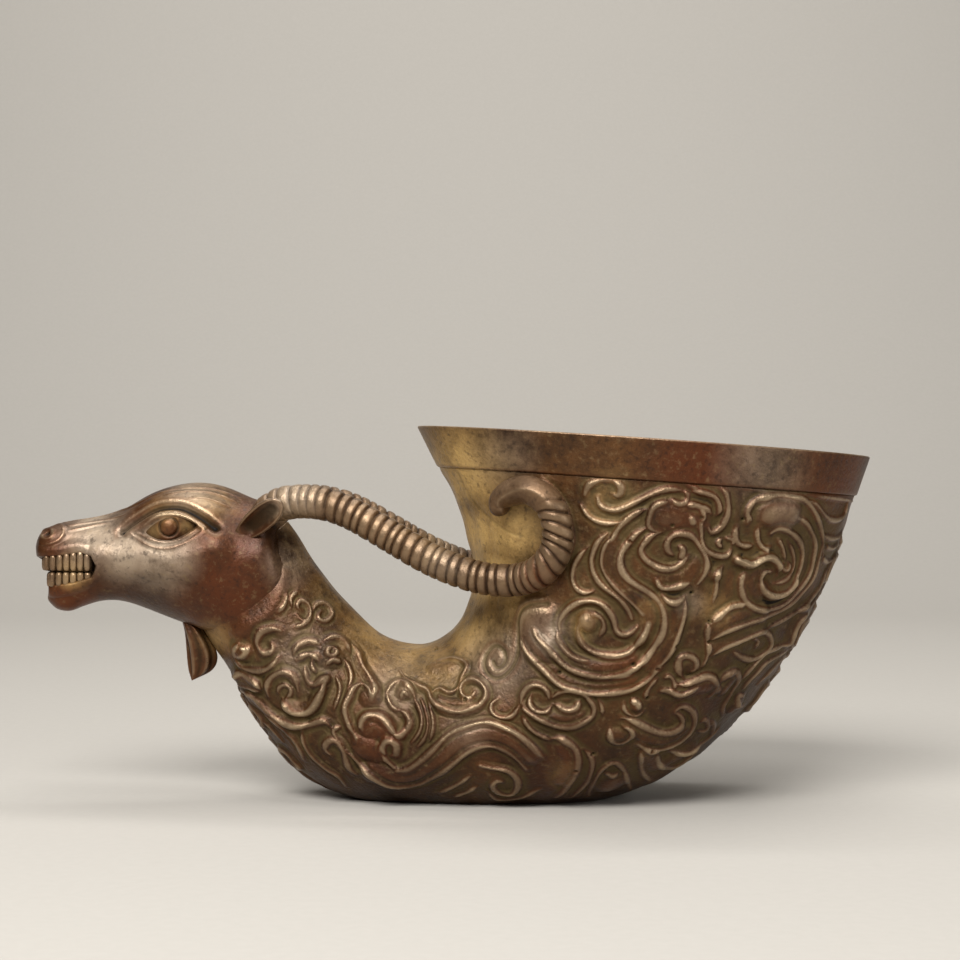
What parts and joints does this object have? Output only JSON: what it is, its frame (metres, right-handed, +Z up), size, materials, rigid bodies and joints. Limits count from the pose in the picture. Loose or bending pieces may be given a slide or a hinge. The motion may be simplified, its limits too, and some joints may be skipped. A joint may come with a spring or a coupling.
{
  "type": "rhyton drinking cup",
  "caption": "Cast bronze drinking cup bent like a horn: a flaring oval mouth, a flat rest and a neck ending in a goat's head whose ribbed horns curl back on to the cup wall.",
  "frame": {"origin": "on the flat rest under the belly, in the middle plane, where the rest meets the table", "axes": "+X from the goat's head towards the far lip of the cup, +Y to the animal's right, +Z up"},
  "size_m": [0.1563, 0.0628, 0.0696],
  "materials": {
    "cup_bronze": "cast, brown patina, waxed",
    "head_bronze": "chased, red-brown patina, handled smooth",
    "horn_bronze": "cast, brown patina, worn on the ribs"
  },
  "bodies": {
    "root": {"cup_body": "cup_bronze", "rim_band": "cup_bronze", "head": "head_bronze", "left_ear": "head_bronze", "right_ear": "head_bronze", "left_eye": "head_bronze", "right_eye": "head_bronze", "upper_teeth": "head_bronze", "lower_teeth": "head_bronze", "beard": "head_bronze", "left_horn": "horn_bronze", "right_horn": "horn_bronze"}
  },
  "joints": []
}
